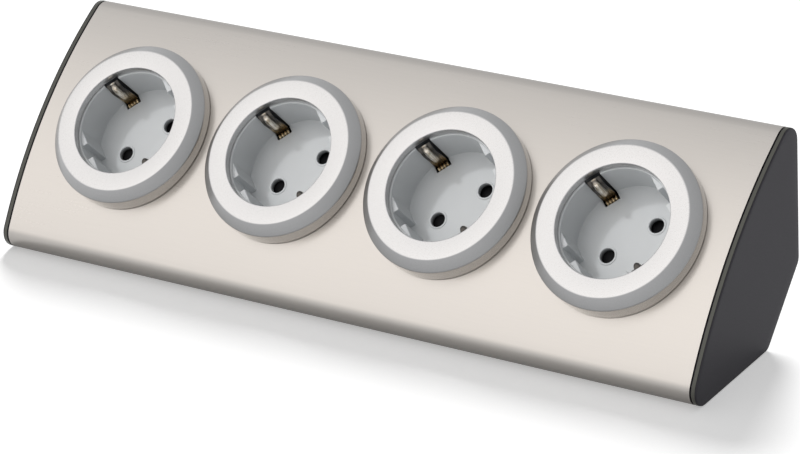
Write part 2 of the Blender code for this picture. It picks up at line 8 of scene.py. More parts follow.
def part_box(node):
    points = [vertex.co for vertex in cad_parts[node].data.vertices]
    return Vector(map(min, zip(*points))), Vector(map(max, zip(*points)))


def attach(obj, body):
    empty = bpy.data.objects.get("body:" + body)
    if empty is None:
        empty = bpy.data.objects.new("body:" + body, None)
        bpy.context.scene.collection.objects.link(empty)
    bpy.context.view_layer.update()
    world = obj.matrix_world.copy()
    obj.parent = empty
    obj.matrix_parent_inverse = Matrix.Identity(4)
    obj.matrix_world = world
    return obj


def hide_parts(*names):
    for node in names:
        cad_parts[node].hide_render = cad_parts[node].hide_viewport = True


# Looks of a corner power strip: steel front, four earthed sockets in silver rings, dark end caps.
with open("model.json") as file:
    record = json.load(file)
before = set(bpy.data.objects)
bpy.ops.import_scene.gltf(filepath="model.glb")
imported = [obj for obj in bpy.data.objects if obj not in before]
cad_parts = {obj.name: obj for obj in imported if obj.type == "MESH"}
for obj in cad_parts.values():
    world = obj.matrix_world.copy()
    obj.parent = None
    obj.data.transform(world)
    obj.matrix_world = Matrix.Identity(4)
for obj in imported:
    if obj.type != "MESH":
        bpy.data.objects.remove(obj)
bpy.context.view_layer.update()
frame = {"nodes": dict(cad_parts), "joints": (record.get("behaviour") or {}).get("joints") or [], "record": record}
nodes = frame["nodes"]
mm = 0.001

# the four shutter hinges give each socket's centre on the flat of its ring, and its axis
centres = np.array([joint["pos_m"] for joint in frame["joints"]])
outAxis = -np.array(frame["joints"][0]["axis"], float)
outAxis = outAxis / np.linalg.norm(outAxis)
alongAxis = np.array([1.0, 0, 0])
slopeAxis = np.cross(outAxis, alongAxis)
pinAxis = (alongAxis + slopeAxis) / np.sqrt(2)
clipAxis = (slopeAxis - alongAxis) / np.sqrt(2)
socketAxes = np.stack([pinAxis, clipAxis, outAxis])
pitch = centres[1][0] - centres[0][0]
# the sockets' axis in the strip's section, in degrees from the wall's normal
outTurn = np.degrees(np.arctan2(outAxis[2], outAxis[1]))
print("frame:", len(nodes), "nodes, socket pitch", round(pitch / mm, 2), "mm")


# mesh helpers

def gridQuads(rows, cols, wrap, start):
    # corner numbers of every cell of a grid, with the last column joined to the first if it wraps
    row = np.arange(rows - 1)[:, None]
    col = np.arange(cols if wrap else cols - 1)[None, :]
    after = (col + 1) % cols
    corners = [row * cols + col, row * cols + after, (row + 1) * cols + after, (row + 1) * cols + col]
    return np.stack(corners, -1).reshape(-1, 4) + start


def meshArray(items, name, width):
    # one property of all the points or faces of a mesh
    values = np.empty(len(items) * width)
    items.foreach_get(name, values)
    return values.reshape(-1, width)


def turnTowards(mesh, target):
    # turns the faces round if most of their area looks away from the target
    way = np.array(target) - meshArray(mesh.polygons, "center", 3)
    looks = (meshArray(mesh.polygons, "normal", 3) * way).sum(1) * meshArray(mesh.polygons, "area", 1)[:, 0]
    if looks.sum() < 0:
        mesh.flip_normals()


def sharpenRim(mesh):
    # edges with one face only are the cut edges of a sheet, so shading breaks there
    edgeOf = np.empty(len(mesh.loops), np.int32)
    mesh.loops.foreach_get("edge_index", edgeOf)
    isRim = np.bincount(edgeOf, minlength=len(mesh.edges)) == 1
    marks = mesh.attributes.get("sharp_edge") or mesh.attributes.new("sharp_edge", "BOOLEAN", "EDGE")
    isSharp = np.empty(len(mesh.edges), bool)
    marks.data.foreach_get("value", isSharp)
    marks.data.foreach_set("value", isSharp | isRim)


def surfacePiece(name, sheets, towards=None, sharp=32, weld=2e-6):
    # sheets are (points[rows, cols, 3], wrap); edges that coincide are welded,
    # and the faces turn outwards, or towards a point if one is given
    points = np.concatenate([sheet.reshape(-1, 3) for sheet, wrap in sheets])
    starts = np.cumsum([0] + [sheet.shape[0] * sheet.shape[1] for sheet, wrap in sheets])
    cells = [gridQuads(*sheet.shape[:2], wrap, start) for (sheet, wrap), start in zip(sheets, starts)]
    mesh = bpy.data.meshes.new(name)
    mesh.from_pydata(points.tolist(), [], np.concatenate(cells).tolist())
    work = bmesh.new()
    work.from_mesh(mesh)
    bmesh.ops.remove_doubles(work, verts=work.verts, dist=weld)
    bmesh.ops.dissolve_degenerate(work, edges=work.edges, dist=weld)
    bmesh.ops.recalc_face_normals(work, faces=work.faces)
    work.to_mesh(mesh)
    work.free()
    if towards is not None:
        turnTowards(mesh, towards)
    mesh.shade_smooth()
    mesh.set_sharp_from_angle(angle=np.radians(sharp))
    sharpenRim(mesh)
    piece = bpy.data.objects.new(name, mesh)
    bpy.context.scene.collection.objects.link(piece)
    return piece


def thicken(piece, thickness, even=True):
    # gives an open sheet its back face, away from the side that shows
    wall = piece.modifiers.new("wall", "SOLIDIFY")
    wall.thickness = thickness
    wall.offset = -1
    wall.use_even_offset = even


def settle(piece, body, material, slot, *replaced):
    # its finish, the body it moves with and the nodes it stands for; the slot is not used
    piece.data.materials.clear()
    piece.data.materials.append(material)
    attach(piece, body)
    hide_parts(*replaced)


def writeMark(mesh, name, share):
    # a value from 0 to 1 on every point, which the materials read
    mark = mesh.attributes.new(name, "FLOAT", "POINT")
    mark.data.foreach_set("value", np.clip(share, 0, 1).astype(np.float32))


def arcPoints(centre, radius, start, end, steps):
    # points on a circle at even steps of the angle, given in degrees
    turn = np.linspace(np.radians(start), np.radians(end), steps + 1)
    return np.stack([centre[0] + radius * np.cos(turn), centre[1] + radius * np.sin(turn)], -1)


def linePoints(first, last, steps):
    # points on a straight line at even steps
    share = np.linspace(0, 1, steps + 1)[:, None]
    return np.array(first) * (1 - share) + np.array(last) * share


def roundedPath(corners, radii, steps=5, closed=False):
    # straight runs between corners, each corner replaced by a quadratic bend that starts its radius away
    corners = np.array(corners, float)
    runs = []
    for k, radius in enumerate(radii):
        if radius == 0:
            runs.append(corners[k:k + 1])
            continue
        before = corners[k - 1] - corners[k]
        after = corners[(k + 1) % len(corners)] - corners[k]
        start = corners[k] + before / np.linalg.norm(before) * radius
        end = corners[k] + after / np.linalg.norm(after) * radius
        t = np.linspace(0, 1, steps + 1)[:, None]
        runs.append((1 - t) ** 2 * start + 2 * t * (1 - t) * corners[k] + t ** 2 * end)
    path = np.concatenate(runs)
    return np.concatenate([path, path[:1]]) if closed else path


def fromSocket(points, k):
    # points along the pin axis, the clip axis and outwards, placed at socket k
    return centres[k] + points @ socketAxes


def inSocket(mesh, k):
    # the other way round: where a mesh's points lie as seen from socket k
    return (meshArray(mesh.vertices, "co", 3) - centres[k]) @ socketAxes.T


# material helpers

# most of a noise's values lie between these two
noiseLow, noiseHigh = 0.3, 0.7


def startMaterial(name, color, roughness, metallic=0.0):
    # a principled shader with plain values
    material = bpy.data.materials.new(name)
    material.use_nodes = True
    shader = material.node_tree.nodes["Principled BSDF"]
    shader.inputs["Base Color"].default_value = (*color, 1)
    shader.inputs["Roughness"].default_value = roughness
    shader.inputs["Metallic"].default_value = metallic
    return material, material.node_tree, shader


def grain(tree, scale, stretch=(1, 1, 1), detail=3.0, rough=0.55, tilt=0.0):
    # noise on the piece's own coordinates, turned about the strip's length and drawn out by a large stretch
    where = tree.nodes.new("ShaderNodeTexCoord")
    turn = tree.nodes.new("ShaderNodeMapping")
    noise = tree.nodes.new("ShaderNodeTexNoise")
    turn.vector_type = "TEXTURE"
    turn.inputs["Rotation"].default_value = (tilt, 0, 0)
    turn.inputs["Scale"].default_value = stretch
    noise.inputs["Scale"].default_value = scale
    noise.inputs["Detail"].default_value = detail
    noise.inputs["Roughness"].default_value = rough
    tree.links.new(where.outputs["Object"], turn.inputs["Vector"])
    tree.links.new(turn.outputs["Vector"], noise.inputs["Vector"])
    return noise.outputs["Fac"]


def spread(tree, value, low, high):
    # takes a noise to a range of plain values
    ramp = tree.nodes.new("ShaderNodeMapRange")
    ramp.inputs["From Min"].default_value = noiseLow
    ramp.inputs["From Max"].default_value = noiseHigh
    ramp.inputs["To Min"].default_value = low
    ramp.inputs["To Max"].default_value = high
    tree.links.new(value, ramp.inputs["Value"])
    return ramp.outputs["Result"]


def tint(tree, value, dark, light):
    # takes a noise from one colour to another
    ramp = tree.nodes.new("ShaderNodeValToRGB")
    ramp.color_ramp.elements[0].position = noiseLow
    ramp.color_ramp.elements[1].position = noiseHigh
    ramp.color_ramp.elements[0].color = (*dark, 1)
    ramp.color_ramp.elements[1].color = (*light, 1)
    tree.links.new(value, ramp.inputs["Fac"])
    return ramp.outputs["Color"]


def relief(tree, shader, value, strength, distance):
    # a fine bump whose height is a noise
    bump = tree.nodes.new("ShaderNodeBump")
    bump.inputs["Strength"].default_value = strength
    bump.inputs["Distance"].default_value = distance
    tree.links.new(value, bump.inputs["Height"])
    tree.links.new(bump.outputs["Normal"], shader.inputs["Normal"])


def shade(color, factor):
    # a colour times a factor, held at 1
    return tuple(min(1.0, c * factor) for c in color)


def toneBand(color, share):
    # a colour made darker and the same made lighter
    return shade(color, 1 - share), shade(color, 1 + share)


def feed(tree, socket, value):
    # an output is linked, a plain value or colour is set
    if isinstance(value, bpy.types.NodeSocket):
        tree.links.new(value, socket)
    else:
        socket.default_value = (*value, 1) if isinstance(value, tuple) else value


def byMark(tree, mark, before, after, kind="RGBA"):
    # goes from one value to the other by a mark that comes with the mesh
    share = tree.nodes.new("ShaderNodeAttribute")
    share.attribute_name = mark
    mixed = tree.nodes.new("ShaderNodeMix")
    mixed.data_type = kind
    tree.links.new(share.outputs["Fac"], mixed.inputs["Factor"])
    feed(tree, mixed.inputs["A"], before)
    feed(tree, mixed.inputs["B"], after)
    return mixed.outputs["Result"]


# materials

def brushedSteel():
    # fine lines along the strip over a slow change of gloss;
    # the bends are duller, and darker by a painted shade, by the mesh's mark
    # the bend colour is a painted shade on the noses
    look = dict(color=(0.468, 0.446, 0.424), bend=(0.17, 0.158, 0.146), metallic=0.85,
                rough=0.30, bendRough=0.46, lines=2600, draw=40, lineTone=0.015, lineRough=0.02,
                slow=9.0, slowRough=0.06, relief=0.0015, depth=0.02 * mm)
    material, tree, shader = startMaterial("satinSteel", look["color"], look["rough"], look["metallic"])
    lines = grain(tree, look["lines"], (look["draw"], 1, 1), detail=4.0, rough=0.7)
    slow = grain(tree, look["slow"], (1, 0.5, 0.5), detail=2.0)
    tone = tint(tree, lines, *toneBand(look["color"], look["lineTone"]))
    tree.links.new(byMark(tree, "bend", tone, look["bend"]), shader.inputs["Base Color"])
    mixed = tree.nodes.new("ShaderNodeMath")
    mixed.operation = "MULTIPLY"
    fine = spread(tree, lines, look["rough"] - look["lineRough"], look["rough"] + look["lineRough"])
    tree.links.new(fine, mixed.inputs[0])
    tree.links.new(spread(tree, slow, 1 - look["slowRough"], 1 + look["slowRough"]), mixed.inputs[1])
    rough = byMark(tree, "bend", mixed.outputs["Value"], look["bendRough"], "FLOAT")
    tree.links.new(rough, shader.inputs["Roughness"])
    relief(tree, shader, lines, look["relief"], look["depth"])
    return material


def silverPaint():
    # metallic paint with fine flakes; by the mesh's marks the chamfer is duller and darker by a painted shade,
    # and the wall is shinier and warmer by a painted reflection of the steel
    # the chamfer's darker colour is a painted shade, the wall's warm colour a painted reflection of the steel
    look = dict(flat=(0.488, 0.486, 0.490), side=(0.262, 0.265, 0.270), wall=(0.54, 0.51, 0.474),
                metallic=0.88, rough=0.30, sideRough=0.46, wallRough=0.12, flakes=5200, flakeTone=0.07,
                flakeRough=0.05, waves=900.0, relief=0.05, depth=0.03 * mm, coat=0.9, coatRough=0.18)
    material, tree, shader = startMaterial("silverPaint", look["flat"], look["rough"], look["metallic"])
    flakes = grain(tree, look["flakes"], detail=2.0)
    flat, side, wall = (tint(tree, flakes, *toneBand(look[name], look["flakeTone"]))
                        for name in ("flat", "side", "wall"))
    tone = byMark(tree, "wall", byMark(tree, "side", flat, side), wall)
    rough = spread(tree, flakes, look["rough"] - look["flakeRough"], look["rough"] + look["flakeRough"])
    rough = byMark(tree, "side", rough, look["sideRough"], "FLOAT")
    tree.links.new(tone, shader.inputs["Base Color"])
    tree.links.new(byMark(tree, "wall", rough, look["wallRough"], "FLOAT"), shader.inputs["Roughness"])
    relief(tree, shader, grain(tree, look["waves"]), look["relief"], look["depth"])
    shader.inputs["Coat Weight"].default_value = look["coat"]
    shader.inputs["Coat Roughness"].default_value = look["coatRough"]
    return material


def mouldedPlastic(name, color, rough, texture, depth, gloss=0.5):
    # spark-eroded grain with a slight change of tone
    look = dict(slow=40.0, tone=0.04, smoother=0.05, rougher=0.06, relief=0.25)
    material, tree, shader = startMaterial(name, color, rough)
    shader.inputs["Specular IOR Level"].default_value = gloss
    fine = grain(tree, texture, detail=4.0)
    slow = grain(tree, look["slow"])
    tree.links.new(tint(tree, slow, *toneBand(color, look["tone"])), shader.inputs["Base Color"])
    varied = spread(tree, fine, rough - look["smoother"], rough + look["rougher"])
    tree.links.new(varied, shader.inputs["Roughness"])
    relief(tree, shader, fine, look["relief"], depth)
    return material


def platedMetal(name, color, rough, drawn):
    # rolled strip: lines along one axis and a cloudy plating
    look = dict(rolled=1500.0, cloud=160.0, dark=0.86, light=1.08, smoother=0.06, rougher=0.08,
                relief=0.08, depth=0.02 * mm)
    material, tree, shader = startMaterial(name, color, rough, 1.0)
    rolled = grain(tree, look["rolled"], drawn)
    cloud = grain(tree, look["cloud"])
    tone = tint(tree, cloud, shade(color, look["dark"]), shade(color, look["light"]))
    tree.links.new(tone, shader.inputs["Base Color"])
    varied = spread(tree, rolled, rough - look["smoother"], rough + look["rougher"])
    tree.links.new(varied, shader.inputs["Roughness"])
    relief(tree, shader, rolled, look["relief"], look["depth"])
    return material


def nickelWearAndHighlight():
    # near white on the raised bead as a painted highlight, with brown scratches along the socket's axis,
    # and near black beside it as a painted shade; low on the blade the plating is worn to the brass and lightened
    # by a painted highlight
    # the near-white colour is a painted highlight, the near-black one a painted shade
    look = dict(bright=(0.96, 0.93, 0.86), scratch=(0.46, 0.37, 0.26), flankShade=(0.07, 0.065, 0.06),
                wornBright=(0.90, 0.74, 0.48), wornScratch=(0.30, 0.20, 0.09), rough=0.34, smoother=0.05,
                rougher=0.08, lines=1900.0, draw=14, tilt=45, relief=0.1, depth=0.02 * mm)
    material, tree, shader = startMaterial("nickelPlate", look["bright"], look["rough"], 1.0)
    lines = grain(tree, look["lines"], (1, 1, look["draw"]), detail=2.0, tilt=np.radians(look["tilt"]))
    plated = tint(tree, lines, look["scratch"], look["bright"])
    rubbed = byMark(tree, "worn", plated, tint(tree, lines, look["wornScratch"], look["wornBright"]))
    tree.links.new(byMark(tree, "rubbed", look["flankShade"], rubbed), shader.inputs["Base Color"])
    rough = spread(tree, lines, look["rough"] + look["rougher"], look["rough"] - look["smoother"])
    tree.links.new(rough, shader.inputs["Roughness"])
    relief(tree, shader, lines, look["relief"], look["depth"])
    return material


def wellPlastic():
    # light grey, but near black inside the bores behind the floor and in the earth slots as a painted shade, by
    # the mesh's mark
    # the near-black bore colour is a painted shade
    look = dict(color=(0.572, 0.592, 0.606), bore=(0.045, 0.047, 0.052), rough=0.38,
                texture=2600.0, depth=0.02 * mm)
    material = mouldedPlastic("greyPlastic", look["color"], look["rough"], look["texture"], look["depth"])
    tree = material.node_tree
    base = tree.nodes["Principled BSDF"].inputs["Base Color"]
    tree.links.new(byMark(tree, "bore", base.links[0].from_socket, look["bore"]), base)
    return material


def capPlastic():
    # dark grey with a fine grain; the rim beside the steel is smoother, and lighter by a painted reflection, by
    # the mesh's mark
    # the rim's lighter colour is a painted reflection
    look = dict(color=(0.0355, 0.0342, 0.041), rim=(0.082, 0.083, 0.073), rough=0.52, rimRough=0.30,
                gloss=0.15, texture=2200.0, depth=0.04 * mm)
    material = mouldedPlastic("darkPlastic", look["color"], look["rough"], look["texture"],
                              look["depth"], look["gloss"])
    tree = material.node_tree
    base, rough = (tree.nodes["Principled BSDF"].inputs[name] for name in ("Base Color", "Roughness"))
    tree.links.new(byMark(tree, "rim", base.links[0].from_socket, look["rim"]), base)
    tree.links.new(byMark(tree, "rim", rough.links[0].from_socket, look["rimRough"], "FLOAT"), rough)
    return material


def sleevePlastic(name, color):
    # insulation of the link wires
    return mouldedPlastic(name, color, rough=0.4, texture=1800.0, depth=0.02 * mm)


finishes = {
    "satin_steel": brushedSteel(),
    "silver_paint": silverPaint(),
    "grey_plastic": wellPlastic(),
    "dark_plastic": capPlastic(),
    "black_plastic": mouldedPlastic("blackPlastic", (0.009, 0.009, 0.010), rough=0.6, texture=2600.0,
                                    depth=0.03 * mm, gloss=0.1),
    "nickel": nickelWearAndHighlight(),
    "brass": platedMetal("stampedBrass", (0.62, 0.48, 0.22), rough=0.3, drawn=(1, 10, 1)),
    "zinc": platedMetal("zincPlate", (0.56, 0.57, 0.58), rough=0.34, drawn=(1, 1, 1)),
    "brown_sleeve": sleevePlastic("brownSleeve", (0.10, 0.04, 0.02)),
    "blue_sleeve": sleevePlastic("blueSleeve", (0.03, 0.12, 0.45)),
    "green_sleeve": sleevePlastic("greenSleeve", (0.25, 0.50, 0.05)),
}
for row in frame["record"]["subparts"]:
    node = nodes[row["node"]]
    node.data.materials.clear()
    node.data.materials.append(finishes[row["material_slot"]])
print("materials:", len(finishes))


# steel front: an arc about a line behind the strip, two bent noses and two flanges; angles in degrees
steel = dict(radius=172.5 * mm, rise=7.2 * mm, nose=6.0 * mm, flange=9.0 * mm, sheet=0.8 * mm, hole=21.6 * mm,
             markOver=90, flangeFade=15, noseSteps=18, flangeSteps=4, holeRows=12, slopePoints=41,
             socketPoints=33, endPoints=4)
panelLow, panelHigh = (np.array(corner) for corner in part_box("front_panel"))
wallY = panelHigh[1]


def panelDrop(s):
    # how far the bowed face falls below the flat of the rings, at a height s up the slope
    return np.sqrt(steel["radius"] ** 2 - s ** 2) - steel["radius"] - steel["rise"]


def onSlope(x, s):
    # points of the bowed face from a place along the strip and one up the slope
    base = np.array([0, centres[0][1], centres[0][2]])
    return base + x[..., None] * alongAxis + s[..., None] * slopeAxis + panelDrop(s)[..., None] * outAxis


def faceCentre():
    # the middle of the face's arc, as y and z
    return np.array([centres[0][1], centres[0][2]]) - outAxis[1:] * (steel["radius"] + steel["rise"])


def noseCentre():
    # the nose touches the wall plane and the inside of the face's arc
    middle = faceCentre()
    y = wallY - steel["nose"]
    reach = steel["radius"] - steel["nose"]
    z = middle[1] + np.sqrt(reach ** 2 - (y - middle[0]) ** 2)
    angle = np.degrees(np.arctan2(z - middle[1], y - middle[0]))
    return y, z, angle


def nosePath():
    # across the top nose from the face to the end of the flange on the wall side, as y and z
    y, z, angle = noseCentre()
    bend = arcPoints((y, z), steel["nose"], angle, 0, steel["noseSteps"])
    flange = linePoints((wallY, z), (wallY, z - steel["flange"]), steel["flangeSteps"])
    return np.concatenate([bend, flange[1:]])


def mirrorSection(path):
    # the section is the same on both sides of its diagonal: height and distance from the wall change places
    return np.stack([wallY - path[:, 1], wallY - path[:, 0]], -1)


def sweepX(path, xs):
    # a path in y and z carried along the strip
    grid = np.zeros((len(path), len(xs), 3))
    grid[..., 0] = xs
    grid[..., 1:] = path[:, None, :]
    return grid


def faceReach():
    # how far the bowed face goes up the slope before the nose starts
    y, z, angle = noseCentre()
    return steel["radius"] * np.sin(np.radians(outTurn - angle))


def panelAround(k, sideX, sideS):
    # rays from the hole's edge out to a rectangle around the socket
    left = np.stack([np.full_like(sideS, sideX[0]), sideS], -1)
    top = np.stack([sideX, np.full_like(sideX, sideS[-1])], -1)
    right = np.stack([np.full_like(sideS, sideX[-1]), sideS[::-1]], -1)
    bottom = np.stack([sideX[::-1], np.full_like(sideX, sideS[0])], -1)
    edge = np.concatenate([left[:-1], top[:-1], right[:-1], bottom[:-1]])
    middle = np.array([centres[k][0], 0])
    ray = edge - middle
    ray = ray / np.linalg.norm(ray, axis=1)[:, None]
    inner = middle + ray * steel["hole"]
    share = np.linspace(0, 1, steel["holeRows"])[:, None, None]
    flat = inner * (1 - share) + edge * share
    return onSlope(flat[..., 0], flat[..., 1])


def markBendShade(mesh, reach):
    # 0 on the bowed face, rising evenly as a nose turns away from it, and back to 0 on the flanges; it darkens the
    # noses as a painted shade
    turned = np.degrees(np.arccos(np.clip(meshArray(mesh.vertices, "normal", 3) @ outAxis, -1, 1)))
    share = (turned - np.degrees(np.arcsin(reach / steel["radius"]))) / steel["markOver"]
    writeMark(mesh, "bend", np.minimum(share, (outTurn - turned) / steel["flangeFade"]))


def makePanel():
    # a patch of the bowed face around each hole and at each end, and both noses carried along the strip
    reach = faceReach()
    turn = np.linspace(-1, 1, steel["slopePoints"]) * np.arcsin(reach / steel["radius"])
    sideS = np.sin(turn) * steel["radius"]
    sheets = []
    xs = [np.linspace(panelLow[0], centres[0][0] - pitch / 2, steel["endPoints"])]
    for k in range(len(centres)):
        sideX = np.linspace(centres[k][0] - pitch / 2, centres[k][0] + pitch / 2, steel["socketPoints"])
        sheets.append((panelAround(k, sideX, sideS), True))
        xs.append(sideX)
    xs.append(np.linspace(centres[-1][0] + pitch / 2, panelHigh[0], steel["endPoints"]))
    for end in (xs[0], xs[-1]):
        sheets.append((onSlope(*np.meshgrid(end, sideS)), False))
    allX = np.unique(np.round(np.concatenate(xs), 9))
    top = nosePath()
    sheets.append((sweepX(top, allX), False))
    sheets.append((sweepX(mirrorSection(top), allX), False))
    front = centres.mean(0) + outAxis
    piece = surfacePiece("steelFront", sheets, towards=front)
    markBendShade(piece.data, reach)
    thicken(piece, steel["sheet"])
    settle(piece, "housing", finishes["satin_steel"], "satin_steel", "front_panel")
    faceCount = len(piece.data.polygons)
    print("steel front:", faceCount, "faces, face reaches", round(reach / mm, 2), "mm up the slope")


makePanel()


# trim rings: a turned profile whose foot follows the bow of the panel
ring = dict(bore=20.0 * mm, outer=30.0 * mm, chamfer=3.4 * mm, lip=2.7 * mm, foot=24.8 * mm, sleeve=21.3 * mm,
            seat=5.1 * mm, gap=0.1 * mm, line=0.25 * mm, lipRound=0.15 * mm, edgeRound=0.45 * mm,
            flatRound=0.35 * mm, lineRound=0.1 * mm, footRound=0.05 * mm, footSlack=1.0 * mm,
            sideFade=0.3 * mm, wallFade=0.4 * mm, sides=192)


def ringProfile():
    # from the bore over the flat, the chamfer and the wall to the foot, then back under the flat
    outer, line, base = ring["outer"], ring["line"], -steel["rise"]
    corners = [(ring["bore"], -ring["lip"]), (ring["bore"], 0), (outer - ring["chamfer"], 0),
               (outer, -ring["chamfer"]), (outer, base + line), (outer - line, base + line),
               (outer - line, base), (ring["foot"], base), (ring["foot"], -ring["seat"]),
               (ring["sleeve"], -ring["seat"]), (ring["sleeve"], -ring["lip"])]
    rounds = [ring["lipRound"], ring["edgeRound"], ring["flatRound"], ring["edgeRound"], ring["lineRound"],
              ring["footRound"], ring["footRound"], 0, 0, 0, 0]
    return roundedPath(corners, rounds, closed=True)


def markShadedSides(mesh, k):
    # side is 1 from the start of the chamfer outwards, for its painted shade, wall is 1 below the chamfer, for its
    # warm painted reflection
    local = inSocket(mesh, k)
    radius = np.linalg.norm(local[:, :2], axis=1)
    writeMark(mesh, "side", (radius - ring["outer"] + ring["chamfer"]) / ring["sideFade"])
    writeMark(mesh, "wall", (-local[:, 2] - ring["chamfer"]) / ring["wallFade"])


def makeRing(k):
    # the profile turned about the socket's axis
    profile = ringProfile()
    turn = np.linspace(0, 2 * np.pi, ring["sides"], endpoint=False)
    radius = profile[:, 0][:, None]
    x = radius * np.cos(turn)
    y = radius * np.sin(turn)
    height = profile[:, 1][:, None] + 0 * x
    # below the chamfer the wall and the foot are stretched down to the bowed panel
    panel = panelDrop((x + y) / np.sqrt(2)) + ring["gap"]
    share = np.clip((-ring["chamfer"] - height) / (steel["rise"] - ring["chamfer"]), 0, 1)
    share = share * (radius > ring["foot"] - ring["footSlack"])
    height = np.where(share > 0, -ring["chamfer"] + (panel + ring["chamfer"]) * share, height)
    piece = surfacePiece(f"trimRing{k + 1}", [(fromSocket(np.stack([x, y, height], -1), k), True)])
    markShadedSides(piece.data, k)
    settle(piece, "housing", finishes["silver_paint"], "silver_paint", f"trim_ring_{k + 1}")


for k in range(len(centres)):
    makeRing(k)
print("trim rings: done")


# plug wells: a flat outline taken down in steps, and a floor spun out from each pin hole
well = dict(radius=19.4 * mm, lip=3.0 * mm, rim=20.9 * mm, depth=17.6 * mm, floor=2.0 * mm, flat=17.1 * mm,
            guideTop=4.0 * mm, groove=3.1 * mm, slot=2.9 * mm, slotIn=16.1 * mm, slotOut=20.4 * mm,
            pin=9.5 * mm, hole=2.6 * mm, collar=0.4 * mm, collarHeight=0.28 * mm, wall=0.4 * mm,
            cove=0.15 * mm, guideRound=0.25 * mm, lipRound=0.4 * mm, leastLedge=0.05 * mm,
            nudge=0.01 * mm,  # keeps neighbouring rings of points apart
            weld=0.005 * mm, boreFrom=0.15 * mm, boreFade=0.2 * mm, slotFrom=0.3 * mm,
            slotSlack=0.05 * mm, behindWall=0.1 * mm)


def quarterOutline():
    # from the middle of the guide groove to the middle of the earth slot, as pin and clip offsets
    radius, soft = well["radius"], well["guideRound"]
    grooveEnd = np.degrees(np.arcsin(well["groove"] / radius))
    flatY = np.sqrt(radius ** 2 - well["flat"] ** 2)
    flatEnd = np.degrees(np.arctan2(flatY, well["flat"]))
    slotStart = np.degrees(np.arccos(well["slot"] / radius))
    slotY = radius * np.sin(np.radians(slotStart))
    corner = (radius * np.cos(np.radians(grooveEnd)), well["groove"])
    grooveSide = linePoints(corner, (well["flat"] + soft, well["groove"]), 4)
    bend = roundedPath([corner, (well["flat"], well["groove"]), (well["flat"], flatY)], [0, soft, 0], 4)[1:-1]
    flat = linePoints((well["flat"], well["groove"] + soft), (well["flat"], flatY), 8)
    inWell = [arcPoints((0, 0), radius, 0, grooveEnd, 5), grooveSide[1:-1], bend, flat[1:-1],
              arcPoints((0, 0), radius, flatEnd, slotStart, 26)]
    inSlot = [linePoints((well["slot"], slotY), (well["slot"], well["slotOut"]), 3)[1:],
              linePoints((well["slot"], well["slotOut"]), (0, well["slotOut"]), 4)[1:]]
    points = np.concatenate(inWell + inSlot)
    return points, np.arange(len(points)) >= sum(len(run) for run in inWell)


def wholeOutline():
    # the quarter mirrored to both sides of both axes, in order round the well
    points, inSlot = quarterOutline()
    half = np.concatenate([points, points[::-1][1:] * [-1, 1]])
    halfSlot = np.concatenate([inSlot, inSlot[::-1][1:]])
    other = half[::-1][1:-1] * [1, -1]
    return np.concatenate([half, other]), np.concatenate([halfSlot, halfSlot[::-1][1:-1]])


def ringGrid(rings):
    # rings are (pin and clip offsets, depth below the ring's flat)
    grid = np.zeros((len(rings), len(rings[0][0]), 3))
    for row, (flat, depth) in enumerate(rings):
        grid[row, :, :2] = flat
        grid[row, :, 2] = -depth
    return grid


def wellWall(outline, inSlot):
    # rings from the rim down to the floor: a full circle to the guides' tops, the true outline below them
    soft, nudge, cove = well["lipRound"], well["nudge"], well["cove"]
    radial = outline / np.linalg.norm(outline, axis=1)[:, None]
    circle = np.where(inSlot[:, None], outline, radial * well["radius"])
    ledge = np.linalg.norm(circle - outline, axis=1) > well["leastLedge"]
    quarter = np.radians(np.linspace(0, 90, 5)[1:])
    rings = [(radial * well["rim"], well["lip"] + 2 * nudge)]
    rings += [(circle + radial * soft * (1 - np.sin(a)), well["lip"] + soft * (1 - np.cos(a)))
              for a in quarter]
    rings += [(circle, well["guideTop"] - 4 * nudge)]
    rings += [(np.where(ledge[:, None], outline + radial * soft * (1 - np.sin(a)), circle),
               well["guideTop"] + soft * (1 - np.cos(a)) + nudge) for a in np.radians(np.linspace(0, 90, 4))]
    floor = well["depth"] - cove
    rings += [(outline, depth) for depth in np.linspace(well["guideTop"] + 2 * soft, floor, 5)]
    # a cove into the floor, while in the slots the wall runs on through it
    under = well["depth"] + well["floor"]
    for a in quarter:
        inward = outline - radial * cove * (1 - np.cos(a))
        deep = floor + (under - floor) * a / np.radians(90)
        flat = np.where(inSlot[:, None], outline, inward)
        rings.append((flat, np.where(inSlot, deep, floor + cove * np.sin(a))))
    return ringGrid(rings)


def floorHalf(wallEnd, inSlot, side):
    # the floor on one side of the middle line: straight rays from the pin hole to the edge of that half
    depth, slot, slotIn, hole, soft = (well[name] for name in ("depth", "slot", "slotIn", "hole", "collar"))
    edge = wallEnd[(~inSlot) & (side * wallEnd[:, 0] > 0)][:, :2]
    edge = edge[np.argsort(np.arctan2(edge[:, 1], side * edge[:, 0]))]
    toMiddle = []
    for sign, last in ((1, edge[-1]), (-1, edge[0])):
        corner = (side * slot, sign * slotIn)
        inner = linePoints(corner, (0, sign * slotIn), 4)
        toMiddle.append(np.concatenate([linePoints((side * slot, last[1]), corner, 5), inner[1:]]))
    middle = linePoints((0, slotIn), (0, -slotIn), 24)[1:-1]
    loop = np.concatenate([edge, toMiddle[0], middle, toMiddle[1][::-1]])
    centre = np.array([side * well["pin"], 0])
    ray = loop - centre
    ray = ray / np.linalg.norm(ray, axis=1)[:, None]
    start = centre + ray * (hole + 2 * soft)
    rings = [(loop * share + start * (1 - share), depth) for share in np.linspace(0, 1, 7)[::-1]]
    # a low half round collar, then the bore
    rings += [(centre + ray * (hole + soft * (1 + np.cos(a))), depth - well["collarHeight"] * np.sin(a))
              for a in np.radians(np.linspace(0, 180, 9)[1:])]
    rings.append((centre + ray * hole, depth + well["floor"]))
    return ringGrid(rings)


